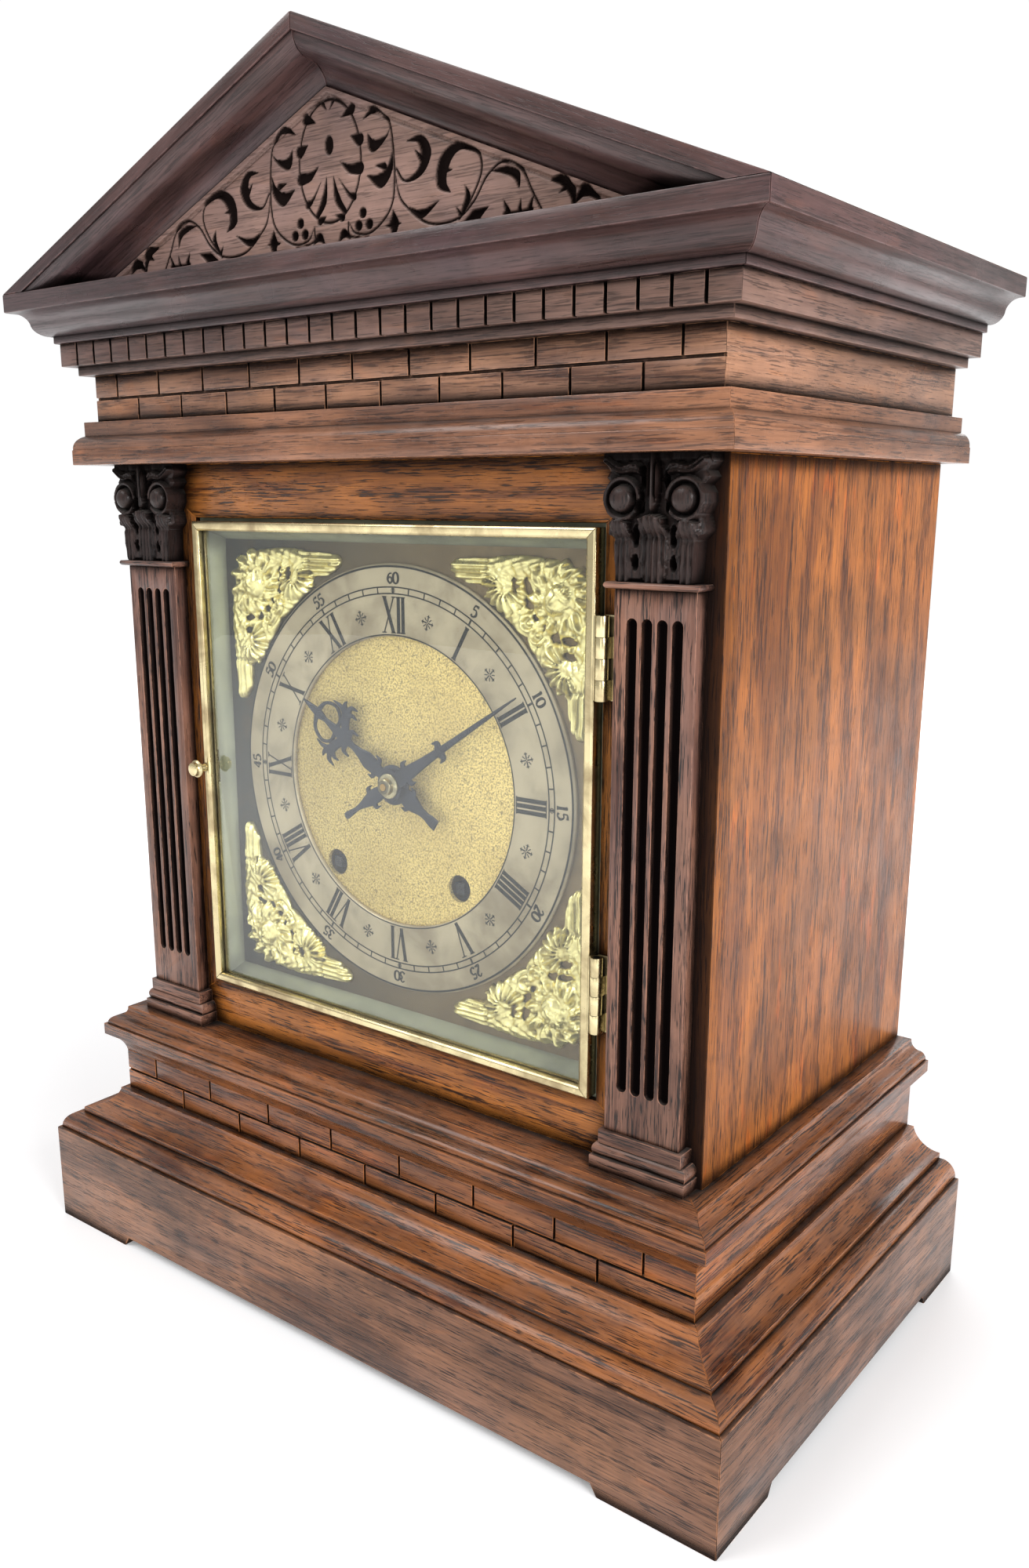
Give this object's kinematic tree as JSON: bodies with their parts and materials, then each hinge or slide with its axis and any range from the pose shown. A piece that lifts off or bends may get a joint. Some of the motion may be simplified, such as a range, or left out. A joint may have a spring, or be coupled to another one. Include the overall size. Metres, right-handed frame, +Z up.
{
  "type": "bracket clock",
  "caption": "Oak bracket clock in temple form with pediment, fluted pilasters, glazed brass door, brass dial and spring-driven striking movement.",
  "frame": {"origin": "under the middle of the whole clock, on the plane that it stands on", "axes": "+Z up, the dial faces -Y, +X to the right as seen from the front"},
  "size_m": [0.379, 0.234, 0.5181],
  "materials": {
    "oak": "waxed oak with an open grain",
    "dark_oak": "dark stained oak",
    "ebonised_wood": "nearly black stained and carved wood",
    "brass": "polished brass",
    "gilt": "gilt cast brass",
    "silvered_brass": "matt silvered brass",
    "blued_steel": "blued steel",
    "steel": "polished steel",
    "iron": "black cast iron",
    "glass": "clear bevelled glass"
  },
  "bodies": {
    "case": {"plinth": "oak", "base_moulding": "oak", "base_frieze": "oak", "cap_moulding": "oak", "case_boards": "oak", "side_panels": "oak", "front_frame": "oak", "pilaster_shafts": "dark_oak", "pilaster_bases": "dark_oak", "pilaster_neckings": "dark_oak", "pilaster_capitals": "ebonised_wood", "architrave": "oak", "upper_frieze": "oak", "dentil_course": "oak", "cornice": "oak", "tympanum": "oak", "raking_cornices": "oak", "roof_boards": "dark_oak", "back_frame": "dark_oak", "fixed_hinge_leaves": "brass", "hinge_pins": "steel", "dial_surround": "silvered_brass", "dial_plate": "brass", "chapter_ring": "silvered_brass", "spandrels": "gilt", "movement_plates": "brass", "plate_pillars": "brass", "seat_board": "oak", "gongs": "blued_steel", "gong_stand": "iron"},
    "front_door": {"door_frame": "brass", "door_glass": "glass", "glass_beads": "brass", "door_hinge_leaves": "brass"},
    "door_knob": {"door_knob": "brass"},
    "rear_door": {"rear_door_frame": "dark_oak", "rear_door_fret": "dark_oak", "rear_hinge_leaves": "brass"},
    "rear_knob": {"rear_knob": "brass"},
    "hour_hand": {"hour_hand": "blued_steel", "hour_wheel": "brass"},
    "minute_hand": {"minute_hand": "blued_steel", "hand_nut": "brass", "cannon_pinion": "steel"},
    "minute_wheel": {"minute_wheel": "brass"},
    "going_barrel": {"going_barrel": "brass"},
    "strike_barrel": {"strike_barrel": "brass"},
    "going_arbor": {"going_arbor": "steel"},
    "strike_arbor": {"strike_arbor": "steel"},
    "second_wheel": {"second_wheel": "brass"},
    "centre_wheel": {"centre_wheel": "brass"},
    "third_wheel": {"third_wheel": "brass"},
    "escape_wheel": {"escape_wheel": "brass"},
    "anchor": {"anchor": "steel"},
    "pendulum": {"pendulum": "brass"},
    "strike_wheel": {"strike_wheel": "brass"},
    "pin_wheel": {"pin_wheel": "brass"},
    "fly": {"fly": "brass"},
    "treble_hammer": {"treble_hammer": "brass"},
    "bass_hammer": {"bass_hammer": "brass"}
  },
  "joints": [
    {"name": "front_door_swing", "type": "hinge", "parent": "case", "child": "front_door", "pos_m": [0.1098, -0.0783, 0.2415], "axis": [0, 0, 1], "range_deg": [0, 105]},
    {"name": "door_knob_turn", "type": "hinge", "parent": "front_door", "child": "door_knob", "pos_m": [-0.10545, -0.0728, 0.238], "axis": [0, 1, 0], "range_deg": [0, 90]},
    {"name": "rear_door_swing", "type": "hinge", "parent": "case", "child": "rear_door", "pos_m": [0.1165, 0.1142, 0.2415], "axis": [0, 0, -1], "range_deg": [0, 105]},
    {"name": "rear_knob_turn", "type": "hinge", "parent": "rear_door", "child": "rear_knob", "pos_m": [-0.101, 0.1102, 0.2415], "axis": [0, 1, 0], "range_deg": [0, 90]},
    {"name": "minute_hand_turn", "type": "hinge", "parent": "case", "child": "minute_hand", "pos_m": [0, -0.0623, 0.2415], "axis": [0, 1, 0], "continuous": true},
    {"name": "hour_hand_turn", "type": "hinge", "parent": "case", "child": "hour_hand", "pos_m": [0, -0.0623, 0.2415], "axis": [0, 1, 0], "continuous": true},
    {"name": "minute_wheel_turn", "type": "hinge", "parent": "case", "child": "minute_wheel", "pos_m": [0, -0.0523, 0.2595], "axis": [0, 1, 0], "continuous": true},
    {"name": "going_arbor_turn", "type": "hinge", "parent": "case", "child": "going_arbor", "pos_m": [0.0315, -0.0198, 0.2015], "axis": [0, 1, 0], "continuous": true},
    {"name": "strike_arbor_turn", "type": "hinge", "parent": "case", "child": "strike_arbor", "pos_m": [-0.0375, -0.0198, 0.2015], "axis": [0, 1, 0], "continuous": true},
    {"name": "going_barrel_turn", "type": "hinge", "parent": "case", "child": "going_barrel", "pos_m": [0.0315, -0.0198, 0.2015], "axis": [0, 1, 0], "continuous": true},
    {"name": "second_wheel_turn", "type": "hinge", "parent": "case", "child": "second_wheel", "pos_m": [0.02203, -0.0198, 0.23248], "axis": [0, 1, 0], "continuous": true},
    {"name": "centre_wheel_turn", "type": "hinge", "parent": "case", "child": "centre_wheel", "pos_m": [0, -0.0198, 0.2415], "axis": [0, 1, 0], "continuous": true},
    {"name": "third_wheel_turn", "type": "hinge", "parent": "case", "child": "third_wheel", "pos_m": [-0.01305, -0.0198, 0.26014], "axis": [0, 1, 0], "continuous": true},
    {"name": "escape_wheel_turn", "type": "hinge", "parent": "case", "child": "escape_wheel", "pos_m": [0, -0.0198, 0.27286], "axis": [0, 1, 0], "continuous": true},
    {"name": "strike_barrel_turn", "type": "hinge", "parent": "case", "child": "strike_barrel", "pos_m": [-0.0375, -0.0198, 0.2015], "axis": [0, 1, 0], "continuous": true},
    {"name": "strike_wheel_turn", "type": "hinge", "parent": "case", "child": "strike_wheel", "pos_m": [-0.04032, -0.0198, 0.23378], "axis": [0, 1, 0], "continuous": true},
    {"name": "pin_wheel_turn", "type": "hinge", "parent": "case", "child": "pin_wheel", "pos_m": [-0.03855, -0.0198, 0.2541], "axis": [0, 1, 0], "continuous": true},
    {"name": "fly_turn", "type": "hinge", "parent": "case", "child": "fly", "pos_m": [-0.03427, -0.0198, 0.27004], "axis": [0, 1, 0], "continuous": true},
    {"name": "pendulum_swing", "type": "hinge", "parent": "case", "child": "pendulum", "pos_m": [0, 0.0122, 0.29286], "axis": [0, 1, 0], "range_deg": [-3, 3]},
    {"name": "anchor_rock", "type": "hinge", "parent": "case", "child": "anchor", "pos_m": [0, 0.0032, 0.29286], "axis": [0, 1, 0], "range_deg": [-3, 3]},
    {"name": "treble_hammer_lift", "type": "hinge", "parent": "case", "child": "treble_hammer", "pos_m": [-0.0562, 0.0002, 0.262], "axis": [0, 1, 0], "range_deg": [0, 18], "stiffness_Nm_per_rad": 0.02, "springref_deg": -5.73},
    {"name": "bass_hammer_lift", "type": "hinge", "parent": "case", "child": "bass_hammer", "pos_m": [0.0562, 0.0002, 0.262], "axis": [0, -1, 0], "range_deg": [0, 18], "stiffness_Nm_per_rad": 0.02, "springref_deg": -5.73}
  ],
  "couplings": [
    {"joint": "hour_hand_turn", "follows": "minute_hand_turn", "ratio": 0.083333},
    {"joint": "minute_wheel_turn", "follows": "minute_hand_turn", "ratio": -0.33333},
    {"joint": "third_wheel_turn", "follows": "escape_wheel_turn", "ratio": -0.08},
    {"joint": "centre_wheel_turn", "follows": "escape_wheel_turn", "ratio": 0.0066667},
    {"joint": "second_wheel_turn", "follows": "escape_wheel_turn", "ratio": -0.00088889},
    {"joint": "going_barrel_turn", "follows": "escape_wheel_turn", "ratio": 0.00011111},
    {"joint": "pin_wheel_turn", "follows": "fly_turn", "ratio": -0.14583},
    {"joint": "strike_wheel_turn", "follows": "fly_turn", "ratio": 0.019444},
    {"joint": "strike_barrel_turn", "follows": "fly_turn", "ratio": -0.0024306},
    {"joint": "anchor_rock", "follows": "pendulum_swing", "ratio": 1}
  ]
}
